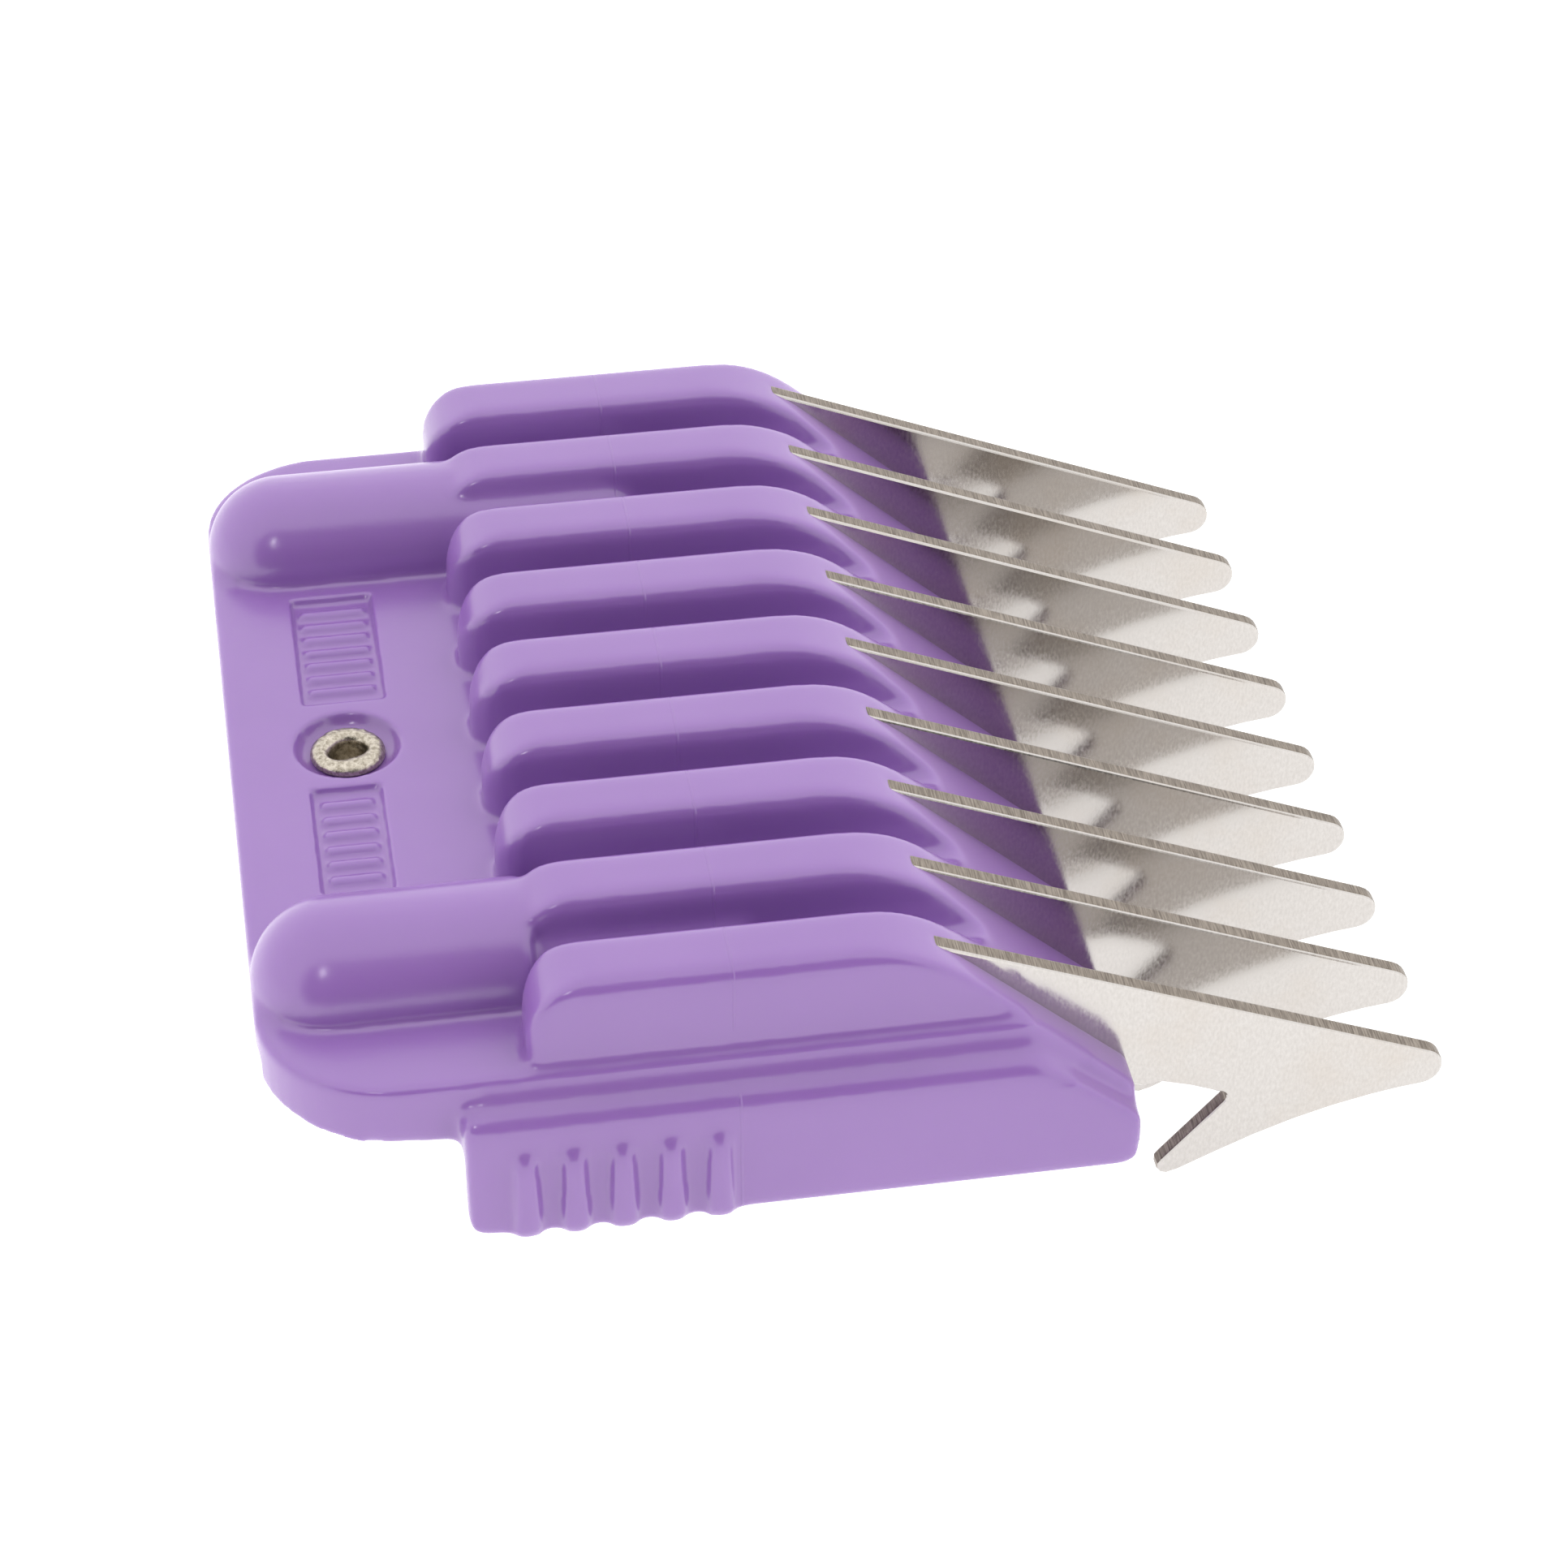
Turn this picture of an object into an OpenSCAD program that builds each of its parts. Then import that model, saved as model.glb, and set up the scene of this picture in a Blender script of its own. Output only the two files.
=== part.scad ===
// Clipper guard comb: moulded body, nine steel teeth, sprung sliding latch under the deck.
// Millimetres, +X towards the tooth tips, +Y across the comb, +Z up, hooks at z = 0.

/* [Overall] */
// length from the deck's rear edge to the tooth tips
total_len = 47.4; // [46:0.1:49]
// height of the deck's upper face above the hook ends
deck_z = 10.55; // [10.4:0.05:10.8]
// distance between neighbouring teeth
tooth_pitch = 5; // [4.9:0.05:5.1]
// sheet thickness of a tooth
tooth_t = 0.75; // [0.6:0.05:0.9]

/* [Body] */
// width of the deck
deck_w = 44.4; // [44:0.1:45]
// radius of the deck's rear corners
corner_r = 5.4; // [4:0.1:6]
// outer width over the side skirts
skirt_w = 46.8; // [46.4:0.1:47.4]
// lower edge of the skirts below the deck face
skirt_drop = 7.1; // [6.8:0.1:7.4]
// how far the grip ribs stand out from the skirts
grip_out = 0.45; // [0.3:0.05:0.6]
// top of the ribs above the deck face
rib_h = 3.82; // [3.6:0.02:4.2]
// width of a rib at its top, before its edges are rounded
rib_w = 3; // [2.8:0.1:3.2]
// radius of the spring barrels
barrel_r = 3.25; // [3.1:0.05:3.4]
// distance of each spring barrel from the centre
barrel_y = 15; // [14.5:0.1:15.5]
// front end of the far spring barrel
barrel_end = 20.3; // [20:0.1:20.6]

/* [Latch] */
// sheet thickness of the latch plate
latch_t = 0.6; // [0.5:0.05:0.7]
// width of the latch plate
latch_w = 34.8; // [33:0.1:35]
// width of the rear lip
lip_w = 18; // [14:0.5:20]
// travel of the latch
travel = 4; // [3:0.5:4]
// rivet position from the deck's rear edge
rivet_x = 5; // [4.8:0.1:5.2]
// rivet shank radius
rivet_r = 1.15; // [1:0.05:1.3]

/* [Springs] */
// mean radius of the coils
coil_r = 1.6; // [1.5:0.05:1.65]
// radius of the spring wire
wire_r = 0.22; // [0.18:0.02:0.26]
// number of turns
turns = 8; // [6:1:9]
// radius of the guide pins inside the springs
pin_r = 0.8; // [0.7:0.05:0.9]

/* [Cross rods] */
// radius of the rods that hold the teeth
rod_r = 0.8; // [0.6:0.05:0.9]

/* [Hidden] */
plastic = [0.66, 0.55, 0.80];
steel = [0.80, 0.79, 0.77];
bright = [0.74, 0.71, 0.66];
slide_gap = 0.05;
fit_gap = 0.02;
slope = 0.9004;               // fall of the front slope
slope_x0 = 27.13;
slope_z0 = 2.407;
slope_angle = atan(slope);
nose_r = 7;                   // front end of a rib, tangent to its top and to the slope
nose_x = (sin(slope_angle) * slope_x0 + cos(slope_angle) * (slope_z0 - rib_h + nose_r) - nose_r)
         / sin(slope_angle);
tip_r = 0.9;
barrel_step = 11;
small_barrel_r = 2.6;
small_barrel_end = 19.5;
panel_depth = 0.3;
front_x = 34.2;
under_z0 = -2.35;             // underside at the rear edge
under_fall = 0.09;
recess_z = -1.35;             // roof of the latch recess
latch_top = recess_z - slide_gap;
latch_low = latch_top - latch_t;
spring_z = 0.55;
spring_x0 = 2.02;
tab_x = 15.1;
floor_fall = 2.3;             // the groove floors rise by this angle towards the front
rod_front = [27.5, -2.0];
rod_rear = [22.5, -1.6];
far_side = 1;
near_side = -1;

function arc(cx, cy, r, a0, a1, n) =
  [for (i = [0:n]) let (a = a0 + (a1 - a0) * i / n) [cx + r * cos(a), cy + r * sin(a)]];
function under_z(x) = under_z0 - under_fall * x;
function slope_z(x) = slope_z0 - slope * (x - slope_x0);
function flip(p) = [for (q = p) [-q[0], q[1]]];

module place() translate([-total_len / 2, 0, deck_z]) children();
// a profile drawn as x, z and given a width along y
module across(w, y = 0) translate([0, y + w / 2, 0]) rotate([90, 0, 0]) linear_extrude(w) children();
// a profile drawn as y, z and given a length along x
module along(x0, x1) translate([x0, 0, 0]) rotate([90, 0, 90]) linear_extrude(x1 - x0) children();

// ---------------------------------------------------------------- body
module deck_block() {
  intersection() {
    translate([0, 0, -8]) linear_extrude(9)
      polygon(concat(
        arc(corner_r, deck_w / 2 - corner_r, corner_r, 180, 90, 12),
        [[front_x, deck_w / 2], [front_x, -deck_w / 2]],
        arc(corner_r, -deck_w / 2 + corner_r, corner_r, 270, 180, 12)));
    across(deck_w + 2)
      polygon([[-1, under_z(-1)], [-1, 0], [slope_x0 + slope_z0 / slope, 0],
               [front_x - 0.2, slope_z(front_x - 0.2)], [front_x, slope_z(front_x) - 0.15],
               [front_x, under_z(front_x)]]);
  }
}

module rib_block() {
  across(43.4)
    polygon(concat(
      [[10.2, -0.6]],
      arc(12.8, rib_h - 2.6, 2.6, 180, 90, 10),
      arc(nose_x, rib_h - nose_r, nose_r, 90, 90 - slope_angle, 8),
      [[slope_x0 + (slope_z0 + 0.6) / slope, -0.6]]));
}

// the gap between two ribs, with the rounded rib edges at its mouth
module groove_2d() {
  g = (tooth_pitch - rib_w) / 2;
  right = concat([[0.35, 0.02], [0.7, 0.35], [0.84, 1.0], [g - 0.04, 2.1]],
                 arc(g + 0.6, rib_h - 0.6, 0.6, 180, 90, 5), [[g + 0.6, rib_h + 2]]);
  left = flip(right);
  polygon(concat(right, [for (i = [len(left) - 1:-1:0]) left[i]]));
}
module groove(y) {
  translate([10, y, 0]) {
    // floor follows a slight rise, the rounded edges stay level
    rotate([0, -floor_fall, 0]) translate([0, 0, 0.05]) along(-1, 22) intersection() {
      groove_2d();
      translate([-2, -1]) square([4, 3.8]);
    }
    along(-1, 22) intersection() {
      groove_2d();
      translate([-3, 1.7]) square([6, 6]);
    }
    // rounded rear ends of the two ribs beside the gap
    translate([0, 0, 0.02]) linear_extrude(8)
      polygon(concat([[-1, -1.9]], arc(1.5, -2.3, 1.3, 180, 90, 6), [[2.2, -0.9], [2.2, 0.9]],
                     arc(1.5, 2.3, 1.3, 270, 180, 6), [[-1, 1.9]]));
  }
}
module outer_round(s) {
  y = 21.7;
  along(9, 31) scale([s, 1]) polygon(concat([[y + 1, rib_h + 1], [y - 0.7, rib_h + 1]],
    arc(y - 0.7, rib_h - 0.7, 0.7, 90, 0, 6), [[y + 1, rib_h - 0.7]]));
}
module ribs() {
  difference() {
    rib_block();
    for (k = [-3.5:1:3.5]) groove(k * tooth_pitch);
    for (s = [-1, 1]) outer_round(s);
  }
}

module skirt(s) {
  w = skirt_w / 2;
  intersection() {
    along(7.5, front_x) scale([s, 1])
      polygon([[22, -0.9], [22.25, -0.95], [w - 0.35, -1.2], [w - 0.1, -1.4], [w, -1.75],
               [w, -skirt_drop + 0.3], [w - 0.12, -skirt_drop + 0.07], [w - 0.35, -skirt_drop],
               [22.2, -skirt_drop], [22, -skirt_drop + 0.2]]);
    across(skirt_w + 2)
      polygon(concat([[7.5, 1], [29.6, -0.5], [30, -1.1], [33.95, -4.33], [front_x, -4.7]],
        arc(front_x - 0.7, -skirt_drop + 0.7, 0.7, 0, -90, 5),
        arc(8.2, -skirt_drop + 0.7, 0.7, 270, 180, 5)));
  }
}
module grip_ribs(s) {
  w = skirt_w / 2;
  for (k = [0:4])
    translate([9.78 + 1.89 * k, 0, 0]) scale([1, s, 1]) intersection() {
      along(-1, 1)
        polygon([[w - 0.4, -2.4], [w, -2.55], [w + grip_out, -3.1], [w + grip_out, -skirt_drop + 0.35],
                 [w + grip_out - 0.15, -skirt_drop], [w - 0.4, -skirt_drop]]);
      across(10, w)
        polygon([[-0.34, -2.4], [0.34, -2.4], [0.54, -skirt_drop], [-0.54, -skirt_drop]]);
    }
}

// the far barrel runs full size to a round end, the near one steps down inside its rib
module barrel(s) {
  full = s == far_side ? barrel_end - barrel_r : barrel_step;
  translate([0, s * barrel_y, 0]) intersection() {
    union() {
      translate([barrel_r, 0, 0]) sphere(r = barrel_r, $fn = 48);
      translate([barrel_r, 0, 0]) rotate([0, 90, 0]) cylinder(r = barrel_r, h = full - barrel_r, $fn = 64);
      if (s == far_side)
        translate([full, 0, 0]) sphere(r = barrel_r, $fn = 48);
      else
        translate([barrel_r, 0, 0]) rotate([0, 90, 0])
          cylinder(r = small_barrel_r, h = small_barrel_end - barrel_r, $fn = 64);
    }
    translate([-5, -5, -1]) cube([30, 10, 10]);
  }
}
module spring_channel(s) {
  translate([2, s * barrel_y, spring_z]) {
    rotate([0, 90, 0]) cylinder(r = 1.95, h = 16.5, $fn = 40);
    translate([0, -1.95, -3]) cube([16.5, 3.9, 3]);
  }
}

module label_panel(x0, x1, y0, y1, bars) {
  step = (y1 - y0) / (bars + 1);
  difference() {
    translate([x0, y0, -panel_depth]) cube([x1 - x0, y1 - y0, 2]);
    // plain raised bars, all alike
    for (i = [1:bars])
      translate([x0 + 0.45, y0 + i * step - 0.2, -1]) cube([x1 - x0 - 0.9, 0.4, 0.94]);
  }
}

// inner part of a tooth, with a margin m all round, used for its slot
function tang(m) = [[20.6 - m, -3.4 - m], [20.6 - m, 1.7 + m], [25.2 - m, 2.2 + m],
  [25.2 - m, 2.7 + m], [26.35, 2.891 + 1.08 * m], [36, -1.02 + 1.08 * m], [36, -5.6 - m],
  [34.6, -5.52 - m], [33.6, -5.05 - m], [29, -3.4 - m]];

module comb_body() color(plastic) place() {
  difference() {
    union() {
      deck_block();
      ribs();
      for (s = [-1, 1]) {
        skirt(s);
        grip_ribs(s);
        barrel(s);
      }
    }
    for (k = [-4:4]) across(tooth_t + 2 * fit_gap, k * tooth_pitch) polygon(tang(fit_gap));
    for (k = [-3.5:1:3.5])
      translate([20.2, k * tooth_pitch - 1.5, -8]) cube([8.8, 3, 7.3]);
    for (p = [rod_front, rod_rear])
      translate([p[0], 20.95, p[1]]) rotate([90, 0, 0]) cylinder(r = rod_r + fit_gap, h = 41.9, $fn = 32);
    translate([-1, -latch_w / 2 - 0.3, -8]) cube([17.4, latch_w + 0.6, 8 + recess_z]);
    for (s = [-1, 1]) spring_channel(s);
    translate([rivet_x, 0, -3]) cylinder(r = rivet_r + fit_gap, h = 5, $fn = 40);
    translate([rivet_x, 0, -0.65]) rotate_extrude($fn = 64)
      polygon([[0, 0], [1.75, 0], [2.05, 0.2], [2.28, 0.65], [2.28, 2], [0, 2]]);
    label_panel(3.3, 6.9, 3.1, 10.8, 7);
    label_panel(3.2, 6.2, -9.8, -2.9, 6);
  }
}

// ---------------------------------------------------------------- teeth
module tooth(i) color(steel) place()
  difference() {
    across(tooth_t, (5 - i) * tooth_pitch)
      polygon(concat(
        [[20.6, -3.4], [20.6, 1.7], [25.2, 2.2], [25.2, 2.7], [26.35, 2.891]],
        arc(total_len - tip_r, -6.247, tip_r, 67.9, -81, 10),
        [[45.6, -7.27], [44.5, -7.47], [42.9, -7.85], [41.3, -8.35], [39.7, -8.97], [38.1, -9.7],
         [36.6, -10.42]],
        arc(36.15, -10.12, 0.43, -54, -234, 5),
        [[38.31, -6.96]],
        arc(38.1, -6.7, 0.32, -30, 90, 5),
        [[36.85, -5.86], [35.6, -5.48], [34.9, -5.6], [34.5, -5.45], [33.6, -5.05], [29, -3.4]]));
    for (p = [rod_front, rod_rear])
      translate([p[0], 25, p[1]]) rotate([90, 0, 0]) cylinder(r = rod_r + fit_gap, h = 50, $fn = 32);
  }
module tooth_1() tooth(1);
module tooth_2() tooth(2);
module tooth_3() tooth(3);
module tooth_4() tooth(4);
module tooth_5() tooth(5);
module tooth_6() tooth(6);
module tooth_7() tooth(7);
module tooth_8() tooth(8);
module tooth_9() tooth(9);

module rod(p) color(bright) place()
  translate([p[0], 20.9, p[1]]) rotate([90, 0, 0]) cylinder(r = rod_r, h = 41.8, $fn = 32);
module front_rod() rod(rod_front);
module rear_rod() rod(rod_rear);

// ---------------------------------------------------------------- latch
module latch_slot() {
  hull() {
    translate([rivet_x, 0, -4]) cylinder(r = rivet_r + slide_gap, h = 4, $fn = 40);
    translate([rivet_x + travel, 0, -4]) cylinder(r = rivet_r + slide_gap, h = 4, $fn = 40);
  }
}
module latch_plate() color(steel) place() {
  difference() {
    union() {
      // flat plate with rounded rear corners
      translate([0, 0, latch_low]) linear_extrude(latch_t)
        polygon(concat(
          arc(4.2, latch_w / 2 - 3, 3, 180, 90, 8), [[15.1, latch_w / 2], [15.1, -latch_w / 2]],
          arc(4.2, -latch_w / 2 + 3, 3, 270, 180, 8), [[1.2, -lip_w / 2], [1.9, -lip_w / 2],
          [1.9, lip_w / 2], [1.2, lip_w / 2]]));
      // rear lip with a short toe that goes under the heel of the blade
      across(lip_w)
        polygon(concat([[1.9, latch_top], [1.9, latch_low]],
          arc(1.9, latch_low - 0.5, 0.5, 90, 180, 4),
          [[1.4, -7.2]], arc(1.75, -7.35, 0.35, 155, 270, 4), [[2.6, -7.7], [2.6, -8.3]],
          arc(1.75, -7.35, 0.95, 270, 180, 5), arc(1.9, latch_low - 0.5, 1.1, 180, 90, 6)));
      // front tabs that press on the springs
      for (s = [-1, 1]) across(2.4, s * barrel_y)
        polygon(concat([[14.2, latch_low]], arc(14.6, latch_top + 0.5, 1.1, 270, 360, 6),
          [[15.7, 1.9], [15.1, 1.9]], arc(14.6, latch_top + 0.5, 0.5, 360, 270, 4),
          [[14.2, latch_top]]));
    }
    latch_slot();
    for (s = [-1, 1]) translate([14, s * barrel_y, spring_z])
      rotate([0, 90, 0]) cylinder(r = pin_r + fit_gap, h = 3, $fn = 32);
  }
}

module spring_pin(s) color(bright) place() {
  translate([6.4, s * barrel_y, spring_z]) rotate([0, 90, 0]) {
    cylinder(r = pin_r, h = 9.4, $fn = 32);
    translate([0, 0, 9.32]) cylinder(r = 1.3, h = 0.45, $fn = 32);
  }
}
module spring_pin_far() spring_pin(far_side);
module spring_pin_near() spring_pin(near_side);

// a coil along x with closed end turns, built ring by ring
module coil(x0, x1, cy, cz) {
  m = 7;
  n = turns * 14;
  span = x1 - x0 - 2 * wire_r;
  function lift(t) = let (e = 1.1 / turns, f = 2 * wire_r * 1.15 / span)
    t < e ? f * t / e : t > 1 - e ? 1 - f * (1 - t) / e : f + (1 - 2 * f) * (t - e) / (1 - 2 * e);
  pts = [for (i = [0:n]) let (t = i / n, a = 360 * turns * t, x = x0 + wire_r + span * lift(t))
    for (j = [0:m - 1]) let (b = 360 * j / m, r = coil_r + wire_r * cos(b))
      [x + wire_r * sin(b), cy + r * cos(a), cz + r * sin(a)]];
  sides = [for (i = [0:n - 1]) for (j = [0:m - 1]) let (k = (j + 1) % m)
    each [[i * m + j, (i + 1) * m + j, (i + 1) * m + k], [i * m + j, (i + 1) * m + k, i * m + k]]];
  ends = [[for (j = [0:m - 1]) j], [for (j = [m - 1:-1:0]) n * m + j]];
  polyhedron(points = pts, faces = concat(sides, ends), convexity = 10);
}
module spring_far() color(steel) place() coil(spring_x0, tab_x - 0.02, barrel_y, spring_z);
module spring_near() color(steel) place() coil(spring_x0, tab_x - 0.02, -barrel_y, spring_z);

// ---------------------------------------------------------------- rivet
module rivet() color(bright) place() translate([rivet_x, 0, 0])
  rotate_extrude($fn = 48)
    polygon(concat([[0, latch_low - 0.8], [0, -1.45], [0.72, -1.45], [0.72, -0.42]],
      arc(1.0, -0.42, 0.28, 180, 90, 3), arc(1.35, -0.38, 0.24, 90, 0, 3),
      [[1.59, -0.62], [rivet_r, -0.62], [rivet_r, latch_low - 0.37], [1.75, latch_low - 0.37]],
      arc(1.5, latch_low - 0.55, 0.25, 0, -90, 3)));
module rivet_washer() color(steel) place() translate([rivet_x, 0, latch_low - 0.34])
  rotate_extrude($fn = 48)
    polygon([[rivet_r + slide_gap, 0], [2.6, 0], [2.7, 0.1], [2.7, 0.3], [rivet_r + slide_gap, 0.3]]);

// ---------------------------------------------------------------- build
comb_body();
tooth_1();
tooth_2();
tooth_3();
tooth_4();
tooth_5();
tooth_6();
tooth_7();
tooth_8();
tooth_9();
front_rod();
rear_rod();
latch_plate();
spring_far();
spring_near();
spring_pin_far();
spring_pin_near();
rivet();
rivet_washer();
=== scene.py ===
import math

import bpy
import bmesh
import numpy as np
from mathutils import Matrix, Vector, noise
from mathutils.bvhtree import BVHTree


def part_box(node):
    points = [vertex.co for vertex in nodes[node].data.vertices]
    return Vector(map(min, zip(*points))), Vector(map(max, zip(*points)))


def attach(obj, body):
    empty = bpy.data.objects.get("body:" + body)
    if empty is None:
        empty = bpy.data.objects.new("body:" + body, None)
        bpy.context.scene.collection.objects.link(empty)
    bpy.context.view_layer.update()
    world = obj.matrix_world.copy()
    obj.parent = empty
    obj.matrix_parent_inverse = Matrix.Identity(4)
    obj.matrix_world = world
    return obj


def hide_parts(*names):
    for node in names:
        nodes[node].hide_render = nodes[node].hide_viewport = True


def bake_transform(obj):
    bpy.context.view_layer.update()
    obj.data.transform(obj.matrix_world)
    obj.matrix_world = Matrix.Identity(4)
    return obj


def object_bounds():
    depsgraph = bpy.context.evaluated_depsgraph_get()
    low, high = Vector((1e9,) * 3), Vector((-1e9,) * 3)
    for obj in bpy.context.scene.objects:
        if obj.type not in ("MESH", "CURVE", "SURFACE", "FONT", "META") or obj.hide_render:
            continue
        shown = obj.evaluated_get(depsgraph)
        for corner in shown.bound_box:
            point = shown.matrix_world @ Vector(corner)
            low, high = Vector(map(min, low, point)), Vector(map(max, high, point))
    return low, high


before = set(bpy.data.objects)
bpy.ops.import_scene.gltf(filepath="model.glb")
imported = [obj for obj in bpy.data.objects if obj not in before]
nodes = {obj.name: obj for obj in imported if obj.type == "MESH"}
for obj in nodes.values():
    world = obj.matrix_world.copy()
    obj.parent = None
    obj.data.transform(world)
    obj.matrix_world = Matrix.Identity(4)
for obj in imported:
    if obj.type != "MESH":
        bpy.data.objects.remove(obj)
collection = bpy.context.scene.collection
CAD_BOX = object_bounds()
MM = 0.001

# Shapes are worked out in millimetres from the deck's rear edge, middle and upper face.
RIB_TOP = 3.82                      # top of the ribs above the deck's upper face
REAR_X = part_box("comb_body")[0].x
DECK_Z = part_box("comb_body")[1].z - RIB_TOP * MM
PITCH = 5.0                         # distance between neighbouring teeth
WITNESS_X = 18.2                    # where the two halves of the mould met
TEETH = ["tooth_%d" % i for i in range(1, 10)]


def at(x, y, z):
    """Millimetres from the deck's rear edge, middle and upper face, as a point in the row frame."""
    return Vector((REAR_X + x * MM, y * MM, DECK_Z + z * MM))


# ------------------------------------------------------------------ camera
SENSOR, LENS = 36, 96.68
CAMERA_PLACE = Matrix(((0.987146, 0.098406, -0.125931, -0.023045),
                       (-0.159819, 0.605416, -0.779698, -0.142310),
                       (-0.000486, 0.789802, 0.613361, 0.118041),
                       (0, 0, 0, 1)))


def make_camera():
    """Looks at the near side from 38 degrees above, a little from the left."""
    cam = bpy.data.cameras.new("camera")
    cam.sensor_width = SENSOR
    cam.lens = LENS
    cam.clip_start = 0.01
    cam.clip_end = 10
    ob = bpy.data.objects.new("camera", cam)
    collection.objects.link(ob)
    ob.matrix_world = CAMERA_PLACE
    bpy.context.scene.camera = ob


# ------------------------------------------------------------------ light
TENT_LIGHT = 1.5        # radiance of the white tent
OPENING_LIGHT = 0.10    # radiance seen through the tent's front opening
OPENING_ELEVATION = 23  # degrees above the floor, centre of the opening
OPENING_AZIMUTH = -9    # degrees round from the near side
OPENING_RADIUS = 37     # degrees, half its width
OPENING_BLUR = 5        # degrees either side of its edge
STRIP_PLACE = Vector((-0.108, -0.26, 0.278))
STRIP_AIM = Vector((0, 0, 0.01))
STRIP_SIZE = (0.010, 0.07)
STRIP_POWER = 0.09
FLOOR_SIZE = 3
FLOOR_GLOW = 1.3
FLOOR_DROP = 0.00005    # keeps the floor clear of the hooks that stand on it


def strip_lamp():
    """A narrow lamp whose reflection is the small glint on the barrels."""
    lamp = bpy.data.lights.new("strip", "AREA")
    lamp.shape = "RECTANGLE"
    lamp.size, lamp.size_y = STRIP_SIZE
    lamp.energy = STRIP_POWER
    ob = bpy.data.objects.new("strip", lamp)
    ob.location = STRIP_PLACE
    ob.rotation_euler = (STRIP_AIM - STRIP_PLACE).to_track_quat("-Z", "Y").to_euler()
    collection.objects.link(ob)


def studio():
    """A white light tent with a dark round opening on the near side."""
    bpy.context.scene.view_settings.view_transform = "Standard"
    world = bpy.data.worlds.new("studio")
    bpy.context.scene.world = world
    world.use_nodes = True
    t = world.node_tree
    bg = t.nodes["Background"]
    bg.inputs["Color"].default_value = (1, 1, 1, 1)
    el, az = math.radians(OPENING_ELEVATION), math.radians(OPENING_AZIMUTH)
    front = (math.sin(az) * math.cos(el), -math.cos(az) * math.cos(el), math.sin(el))
    ray = t.nodes.new("ShaderNodeTexCoord")
    dot = t.nodes.new("ShaderNodeVectorMath")
    dot.operation = "DOT_PRODUCT"
    dot.inputs[1].default_value = front
    t.links.new(ray.outputs["Generated"], dot.inputs[0])
    edge = t.nodes.new("ShaderNodeMapRange")
    edge.interpolation_type = "SMOOTHSTEP"
    edge.inputs["From Min"].default_value = math.cos(math.radians(OPENING_RADIUS + OPENING_BLUR))
    edge.inputs["From Max"].default_value = math.cos(math.radians(OPENING_RADIUS - OPENING_BLUR))
    edge.inputs["To Min"].default_value = TENT_LIGHT
    edge.inputs["To Max"].default_value = OPENING_LIGHT
    t.links.new(dot.outputs["Value"], edge.inputs["Value"])
    t.links.new(edge.outputs[0], bg.inputs["Strength"])
    strip_lamp()


def floor():
    """White paper that glows a little, so that it stays white under the comb."""
    bm = bmesh.new()
    bmesh.ops.create_grid(bm, x_segments=24, y_segments=24, size=FLOOR_SIZE)
    me = bpy.data.meshes.new("floor")
    bm.to_mesh(me)
    bm.free()
    ob = bpy.data.objects.new("floor", me)
    ob.location.z = CAD_BOX[0].z - FLOOR_DROP
    collection.objects.link(ob)
    mat = bpy.data.materials.new("floor_paper")
    mat.use_nodes = True
    b = mat.node_tree.nodes["Principled BSDF"]
    b.inputs["Base Color"].default_value = (0.25, 0.25, 0.25, 1)
    b.inputs["Roughness"].default_value = 0.9
    b.inputs["Specular IOR Level"].default_value = 0.1
    b.inputs["Emission Color"].default_value = (1, 1, 1, 1)
    b.inputs["Emission Strength"].default_value = FLOOR_GLOW
    ob.data.materials.append(mat)


# ------------------------------------------------------------------ materials
class Shader:
    """Small helper that adds and links shader nodes."""

    def __init__(self, name):
        self.mat = bpy.data.materials.new(name)
        self.mat.use_nodes = True
        self.t = self.mat.node_tree
        self.b = self.t.nodes["Principled BSDF"]
        self.pos = self.t.nodes.new("ShaderNodeTexCoord").outputs["Object"]

    def node(self, kind, inputs=None, **values):
        n = self.t.nodes.new(kind)
        for k, v in values.items():
            setattr(n, k, v)
        for k, v in (inputs or {}).items():
            if isinstance(v, bpy.types.NodeSocket):
                self.t.links.new(v, n.inputs[k])
            else:
                n.inputs[k].default_value = v
        return n

    def noise(self, scale, detail=3, rough=0.5, vector=None):
        return self.node("ShaderNodeTexNoise", {"Vector": vector or self.pos, "Scale": scale,
                                                "Detail": detail, "Roughness": rough}).outputs["Fac"]

    def stretch(self, sx, sy, sz):
        return self.node("ShaderNodeMapping", {"Vector": self.pos, "Scale": (sx, sy, sz)}).outputs[0]

    def span(self, value, a, b, c, d):
        return self.node("ShaderNodeMapRange", {"Value": value, "From Min": a, "From Max": b,
                                                "To Min": c, "To Max": d}).outputs[0]

    def math(self, op, a, b=0.0):
        n = self.node("ShaderNodeMath", operation=op)
        for i, v in enumerate((a, b)):
            if isinstance(v, bpy.types.NodeSocket):
                self.t.links.new(v, n.inputs[i])
            else:
                n.inputs[i].default_value = v
        return n.outputs[0]

    def blend(self, fac, a, b):
        n = self.node("ShaderNodeMix", data_type="RGBA")
        for i, v in ((0, fac), (6, a), (7, b)):
            if isinstance(v, bpy.types.NodeSocket):
                self.t.links.new(v, n.inputs[i])
            else:
                n.inputs[i].default_value = v
        return n.outputs[2]

    def axes(self):
        return self.node("ShaderNodeSeparateXYZ", {0: self.pos}).outputs

    def bump(self, height, distance, strength=1.0, normal=None):
        n = self.node("ShaderNodeBump", {"Height": height, "Distance": distance, "Strength": strength})
        if normal is not None:
            self.t.links.new(normal, n.inputs["Normal"])
        return n.outputs[0]

    def to(self, socket, value):
        if isinstance(value, bpy.types.NodeSocket):
            self.t.links.new(value, self.b.inputs[socket])
        else:
            self.b.inputs[socket].default_value = value


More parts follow.
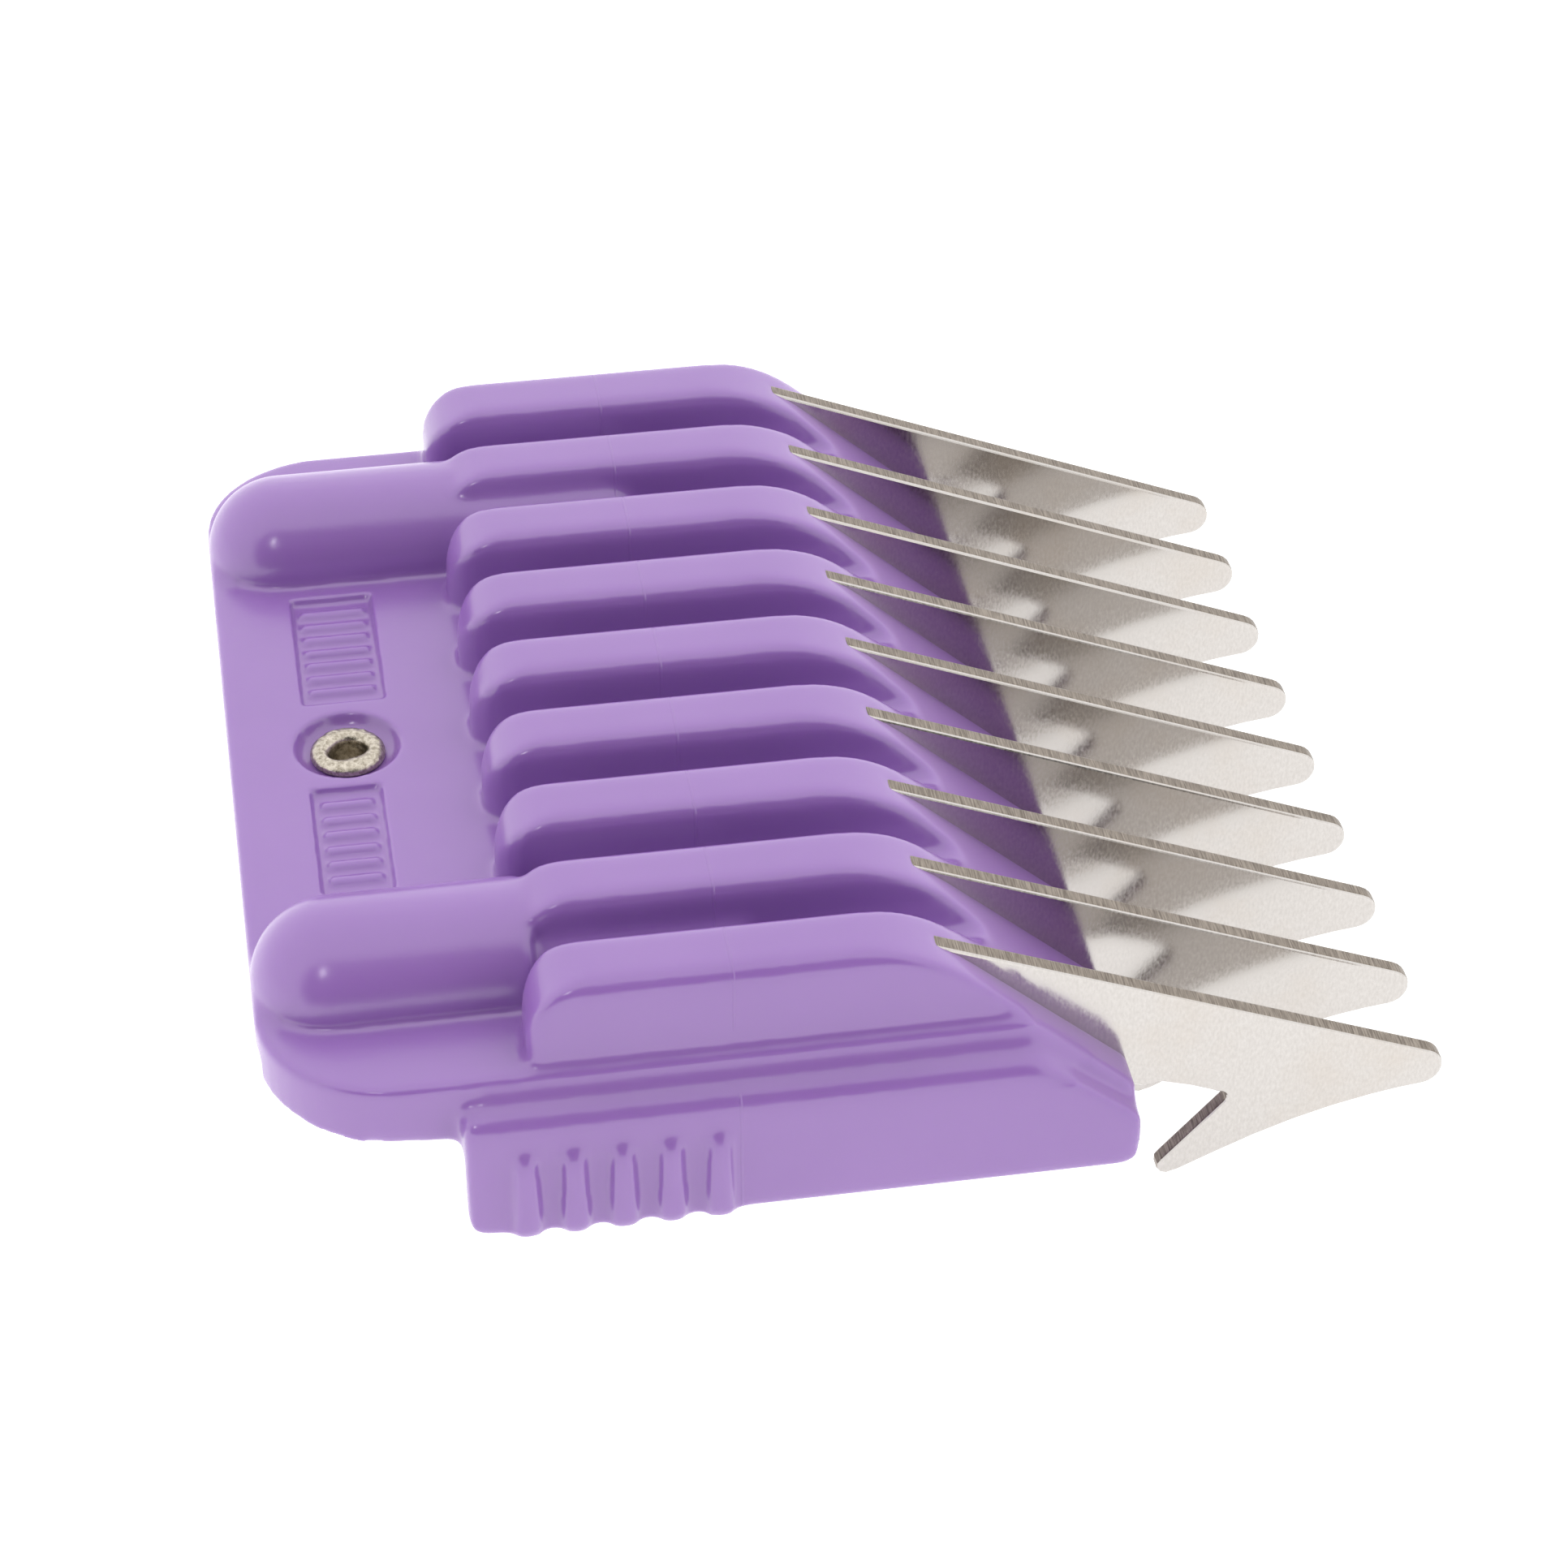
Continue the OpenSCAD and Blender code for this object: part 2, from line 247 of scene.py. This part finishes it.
def purple_plastic():
    """Satin moulded plastic: faint clouding, orange peel and the mould's witness line."""
    s = Shader("purple_plastic")
    cloud = s.noise(140, 3, 0.5)
    light, dark = (0.272, 0.136, 0.420, 1), (0.250, 0.122, 0.392, 1)
    s.to("Base Color", s.blend(s.span(cloud, 0.15, 0.85, 0, 1), dark, light))
    s.to("Roughness", s.span(s.noise(110, 2, 0.4), 0.15, 0.85, 0.19, 0.27))
    s.to("IOR", 1.72)
    s.to("Subsurface Weight", 0.2)
    s.to("Subsurface Radius", (1.0, 0.35, 1.6))
    s.to("Subsurface Scale", 0.0005)
    x, y, z = s.axes()
    off = s.math("ABSOLUTE", s.math("SUBTRACT", x, REAR_X + WITNESS_X * MM))
    high = s.span(z, DECK_Z + 0.8 * MM, DECK_Z + 1.1 * MM, 0, 1)
    outer = s.span(s.math("ABSOLUTE", y), 0.0229, 0.0231, 0, 1)
    line = s.math("MULTIPLY", s.span(off, 0.00002, 0.00007, 1, 0), s.math("MAXIMUM", high, outer))
    peel = s.bump(s.noise(420, 2), 0.00005, 0.2)
    fine = s.bump(s.noise(2600, 3, 0.6), 0.000012, 0.3, peel)
    s.to("Normal", s.bump(line, 0.00002, 0.8, fine))
    return s.mat


def sheet_steel(name, face_light, face_dark, edge_light, edge_dark, rough=(0.11, 0.19)):
    """Rolled sheet: near-mirror faces with a fine upright grain, dull cut edges with shear marks."""
    s = Shader(name)
    side = s.node("ShaderNodeSeparateXYZ", {0: s.node("ShaderNodeNewGeometry").outputs["Normal"]})
    across = 2 if name == "latch_steel" else 1  # the axis through the sheet's thickness
    edge = s.span(s.math("ABSOLUTE", side.outputs[across]), 0.25, 0.55, 1, 0)
    grain = s.noise(1.0, 2, 0.5, s.stretch(9000, 3000, 4200))
    shear = s.noise(1.0, 3, 0.6, s.stretch(19000, 900, 1200))
    stain = s.noise(230, 4, 0.6)
    face = s.blend(s.span(grain, 0.3, 0.7, 0, 1), face_dark, face_light)
    face = s.blend(s.span(stain, 0.5, 0.75, 0, 0.35), face, (0.47, 0.41, 0.35, 1))
    cut = s.blend(s.span(shear, 0.35, 0.65, 0, 1), edge_dark, edge_light)
    s.to("Base Color", s.blend(edge, face, cut))
    s.to("Metallic", 1.0)
    smooth = s.span(grain, 0.3, 0.7, *rough)
    s.to("Roughness", s.math("MAXIMUM", smooth, s.math("MULTIPLY", edge, 0.4)))
    relief = s.math("ADD", s.math("MULTIPLY", grain, 0.12), s.math("MULTIPLY", shear, edge))
    s.to("Normal", s.bump(relief, 0.000012, 0.7))
    return s.mat


def tooth_steel():
    return sheet_steel("tooth_steel", (0.535, 0.51, 0.487, 1), (0.475, 0.45, 0.427, 1),
                       (0.30, 0.26, 0.22, 1), (0.13, 0.107, 0.088, 1))


def latch_steel():
    return sheet_steel("latch_steel", (0.74, 0.72, 0.69, 1), (0.62, 0.60, 0.57, 1),
                       (0.42, 0.39, 0.36, 1), (0.16, 0.145, 0.13, 1), (0.2, 0.3))


def bright_metal(name, light, dark, scale, rough, relief):
    """Plated or drawn metal with fine pitting."""
    s = Shader(name)
    pit = s.noise(scale, 4, 0.65)
    broad = s.noise(scale * 0.2, 3, 0.5)
    s.to("Base Color", s.blend(s.span(pit, 0.35, 0.62, 0, 1), dark, light))
    s.to("Metallic", 1.0)
    s.to("Roughness", s.span(broad, 0.3, 0.7, rough - 0.06, rough + 0.08))
    s.to("Normal", s.bump(pit, relief, 0.8))
    return s.mat


def paint(names, mat):
    for n in names:
        me = nodes[n].data
        me.materials.clear()
        me.materials.append(mat)


# ------------------------------------------------------------------ moulded body
def evaluated(ob, name):
    dg = bpy.context.evaluated_depsgraph_get()
    me = bpy.data.meshes.new_from_object(ob.evaluated_get(dg), depsgraph=dg)
    me.name = name
    return me


VOXEL = 0.13            # millimetres, size of the remeshed body's faces
KEPT_FACES = 0.4        # part of them that is left in the lighter mesh
FILL_HALF = 0.45        # half the width of the plastic put in at each tooth root


def moulded_body():
    """The body with rounded mould edges and with plastic closed round each tooth root."""
    bm = bmesh.new()
    bm.from_mesh(nodes["comb_body"].data)
    side = [(20.4, -3.5), (20.4, 1.8), (25.1, 2.3), (25.1, 2.75), (26.2, 2.88), (27.13, 2.35),
            (27.56, 1.98), (34.0, -3.80), (34.2, -4.13), (34.2, -5.4), (33.6, -5.15), (29, -3.5)]
    for i in range(len(TEETH)):
        y = (4 - i) * PITCH
        a = [bm.verts.new(at(x, y - FILL_HALF, z)) for x, z in side]
        b = [bm.verts.new(at(x, y + FILL_HALF, z)) for x, z in side]
        n = len(side)
        bm.faces.new(a[::-1])
        bm.faces.new(b)
        for k in range(n):
            bm.faces.new((a[k], a[(k + 1) % n], b[(k + 1) % n], b[k]))
    bmesh.ops.recalc_face_normals(bm, faces=bm.faces)
    me = bpy.data.meshes.new("rough_body")
    bm.to_mesh(me)
    bm.free()
    tmp = bpy.data.objects.new("rough_body", me)
    collection.objects.link(tmp)
    r = tmp.modifiers.new("remesh", "REMESH")
    r.mode = "VOXEL"
    r.voxel_size = VOXEL * MM
    fine = evaluated(tmp, "moulded_body")
    bpy.data.objects.remove(tmp)
    soften(fine)
    ob = bpy.data.objects.new("moulded_body", fine)
    collection.objects.link(ob)
    d = ob.modifiers.new("lighten", "DECIMATE")
    d.ratio = KEPT_FACES
    light = evaluated(ob, "moulded_body_mesh")
    ob.modifiers.clear()
    ob.data = light
    keep_normals(light, fine)
    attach(ob, "comb")
    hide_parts("comb_body")
    return ob


def keep_normals(light, fine):
    """Gives the lighter mesh the finer one's shading."""
    tree = BVHTree.FromPolygons([v.co for v in fine.vertices], [p.vertices[:] for p in fine.polygons])
    fine_normals = [v.normal for v in fine.vertices]
    normals = []
    for v in light.vertices:
        _, flat, face, _ = tree.find_nearest(v.co)
        corners = fine.polygons[face].vertices
        near = sorted(corners, key=lambda c: (fine.vertices[c].co - v.co).length_squared)[:3]
        mean = sum((fine_normals[c] / ((fine.vertices[c].co - v.co).length + 1e-6) for c in near), Vector())
        normals.append(mean.normalized() if mean.length else flat)
    for p in light.polygons:
        p.use_smooth = True
    light.normals_split_custom_set_from_vertices(normals)


def soften(me):
    """Rounds the mould edges by averaging each vertex with its neighbours.

    Two passes go over everything and five more leave out the label panels; the rim, ribs, skirts,
    grip ribs and the ledges over the skirts then get their own."""
    n = len(me.vertices)
    co = np.empty(n * 3)
    me.vertices.foreach_get("co", co)
    co = co.reshape(n, 3)
    ends = np.empty(len(me.edges) * 2, int)
    me.edges.foreach_get("vertices", ends)
    a, b = ends.reshape(-1, 2).T
    count = np.bincount(a, minlength=n) + np.bincount(b, minlength=n)
    x = (co[:, 0] - REAR_X) / MM
    y = np.abs(co[:, 1]) / MM
    z = (co[:, 2] - DECK_Z) / MM
    panels = (x > 2.9) & (x < 7.2) & (y < 11.2) & (z > -0.7) & (z < 0.3)
    corner = (np.hypot(x - 5.4, y - 16.8) > 4.4) & (x < 5.4) & (y > 16.8)
    rim = (z > -1.0) & (z < 0.3) & ((x < 1.1) & (y < 18) | corner
                                    | (y > 21.2) & (y < 22.35) & (x >= 5.4) & (x < 29))
    ribs = (z > 0.6) & (x > 9.9) | (y > 20.6) & (z > -1.0) & (x > 9.9)
    grips = (y > 22.9) & (z < -3.4) & (z > -6.5) & (x > 8.9) & (x < 18.3)
    skirts = (y > 21.9) & (z < -0.6) & ~grips
    ledges = (y > 21.6) & (z < -0.2) & (z > -2.3) & (x > 8.2)

    def passes(times, mask):
        w = np.where(mask, 0.5, 0.0)[:, None]
        for _ in range(times):
            s = np.empty_like(co)
            for k in range(3):
                s[:, k] = np.bincount(a, co[b, k], n) + np.bincount(b, co[a, k], n)
            co[:] += w * (s / count[:, None] - co)

    passes(2, np.ones(n, bool))
    passes(5, ~panels)
    passes(14, rim | ribs | skirts)
    passes(14, skirts & ((z < -5.9) | (x < 8.6) | (z > -2.2)))
    passes(5, grips)
    passes(26, ledges)
    me.vertices.foreach_set("co", co.ravel())
    me.update()


# ------------------------------------------------------------------ rivet
def rivet_eyelet():
    """Half-hollow rivet with a rolled head that was struck a little crooked."""
    profile = [(0.0, -1.45), (0.35, -1.42), (0.60, -1.30), (0.66, -1.1), (0.68, -0.8), (0.70, -0.55),
               (0.72, -0.42), (0.76, -0.31), (0.84, -0.21), (0.95, -0.155), (1.08, -0.135), (1.22, -0.15),
               (1.36, -0.185), (1.47, -0.25), (1.55, -0.34), (1.585, -0.45), (1.57, -0.55), (1.50, -0.61),
               (1.35, -0.625), (1.15, -0.63), (1.15, -1.5), (1.15, -2.37), (1.70, -2.38), (1.75, -2.45),
               (1.72, -2.62), (1.55, -2.74), (1.2, -2.79), (0.7, -2.8), (0.0, -2.8)]
    dense = []
    step = 0.06
    for (r0, z0), (r1, z1) in zip(profile, profile[1:]):
        steps = max(1, round(math.hypot(r1 - r0, z1 - z0) / step))
        dense += [(r0 + (r1 - r0) * k / steps, z0 + (z1 - z0) * k / steps) for k in range(steps)]
    dense.append(profile[-1])
    around = 140
    cx = (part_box("rivet")[0].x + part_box("rivet")[1].x) / 2
    bm = bmesh.new()
    rings = []
    for r, z in dense:
        if r == 0:
            rings.append([bm.verts.new((cx, 0, DECK_Z + z * MM))])
            continue
        ring = []
        for k in range(around):
            a = math.tau * k / around
            head = max(0.0, min(1.0, (z + 0.66) / 0.1))
            mouth = head * max(0.0, min(1.0, (1.15 - r) / 0.35))
            p = Vector((math.cos(a) * r, math.sin(a) * r, z))
            rough = noise.noise(p * 4.5) * 0.5 + noise.noise(p * 11.0) * 0.3
            crimp = noise.noise(Vector((a * 5.5, 3.1, 0))) * max(0.0, min(1.0, (r - 1.2) / 0.3))
            rr = r * (1 + mouth * (0.13 * math.cos(2 * (a - 0.5)) + 0.06 * math.cos(3 * a + 1)))
            rr += head * (0.020 * rough + 0.016 * crimp)
            zz = z + head * (0.030 * rough - 0.05 * crimp * (z > -0.5)) - 0.012 * head * r * math.cos(a)
            ring.append(bm.verts.new((cx + rr * MM * math.cos(a), rr * MM * math.sin(a), DECK_Z + zz * MM)))
        rings.append(ring)
    for lower, upper in zip(rings, rings[1:]):
        for k in range(around):
            j = (k + 1) % around
            if len(lower) == 1:
                bm.faces.new((lower[0], upper[k], upper[j]))
            elif len(upper) == 1:
                bm.faces.new((lower[k], upper[0], lower[j]))
            else:
                bm.faces.new((lower[k], upper[k], upper[j], lower[j]))
    bmesh.ops.recalc_face_normals(bm, faces=bm.faces)
    ob = mesh_object("rivet_eyelet", bm)
    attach(ob, "comb")
    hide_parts("rivet")
    return ob


def mesh_object(name, bm):
    me = bpy.data.meshes.new(name)
    bm.to_mesh(me)
    bm.free()
    for p in me.polygons:
        p.use_smooth = True
    ob = bpy.data.objects.new(name, me)
    collection.objects.link(ob)
    return ob


# ------------------------------------------------------------------ springs
COIL_R, WIRE_R, TURNS = 1.6, 0.22, 8


def coil(name, node):
    """Round wire wound along X with closed end turns, built to the length of the spring part's box."""
    a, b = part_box(node)
    x0, x1 = a.x / MM + WIRE_R, b.x / MM - WIRE_R
    cy, cz = (a.y + b.y) / 2 / MM, (a.z + b.z) / 2 / MM
    steps, sides = TURNS * 36, 12
    closed, pitch0 = 1.1 / TURNS, 2 * WIRE_R * 1.15 / (x1 - x0)
    bm = bmesh.new()
    rings = []
    for i in range(steps + 1):
        t = i / steps
        if t < closed:
            lift = pitch0 * t / closed
        elif t > 1 - closed:
            lift = 1 - pitch0 * (1 - t) / closed
        else:
            lift = pitch0 + (1 - 2 * pitch0) * (t - closed) / (1 - 2 * closed)
        turn = math.tau * TURNS * t
        x = x0 + (x1 - x0) * lift
        ring = []
        for j in range(sides):
            v = math.tau * j / sides
            r = COIL_R + WIRE_R * math.cos(v)
            ring.append(bm.verts.new(Vector((x + WIRE_R * math.sin(v), cy + r * math.cos(turn),
                                             cz + r * math.sin(turn))) * MM))
        rings.append(ring)
    for p, q in zip(rings, rings[1:]):
        for j in range(sides):
            k = (j + 1) % sides
            bm.faces.new((p[j], p[k], q[k], q[j]))
    bm.faces.new(rings[0][::-1])
    bm.faces.new(rings[-1])
    bmesh.ops.recalc_face_normals(bm, faces=bm.faces)
    ob = mesh_object(name, bm)
    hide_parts(node)
    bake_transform(ob)
    return ob


# ------------------------------------------------------------------ everything together
def dress(ob, mat):
    ob.data.materials.clear()
    ob.data.materials.append(mat)


def round_edges(names, width, segments):
    """Rounds the sheet's edges; its triangles are joined into flat faces first, to give the bevel room."""
    for n in names:
        nodes[n].modifiers.new("joined", "WELD").merge_threshold = 1e-6
        flat = nodes[n].modifiers.new("flat_faces", "DECIMATE")
        flat.decimate_type = "DISSOLVE"
        flat.angle_limit = math.radians(1)
        m = nodes[n].modifiers.new("broken_edges", "BEVEL")
        m.width = width * MM
        m.segments = segments
        m.limit_method = "ANGLE"
        m.angle_limit = math.radians(40)
        m.use_clamp_overlap = False


make_camera()
studio()
floor()

dress(moulded_body(), purple_plastic())
dress(rivet_eyelet(), bright_metal("nickel_rivet", (0.57, 0.52, 0.44, 1), (0.27, 0.235, 0.185, 1),
                                   5200, 0.30, 0.000025))
spring_wire = bright_metal("spring_steel", (0.62, 0.60, 0.57, 1), (0.42, 0.40, 0.38, 1),
                           4000, 0.26, 0.000006)
dress(coil("coil_far", "spring_far"), spring_wire)
dress(coil("coil_near", "spring_near"), spring_wire)
paint(TEETH, tooth_steel())
paint(["latch_plate"], latch_steel())
paint(["front_rod", "rear_rod", "spring_pin_far", "spring_pin_near", "rivet_washer"],
      bright_metal("plated_steel", (0.78, 0.76, 0.72, 1), (0.56, 0.54, 0.51, 1), 2600, 0.22, 0.000006))
round_edges(TEETH, 0.14, 3)
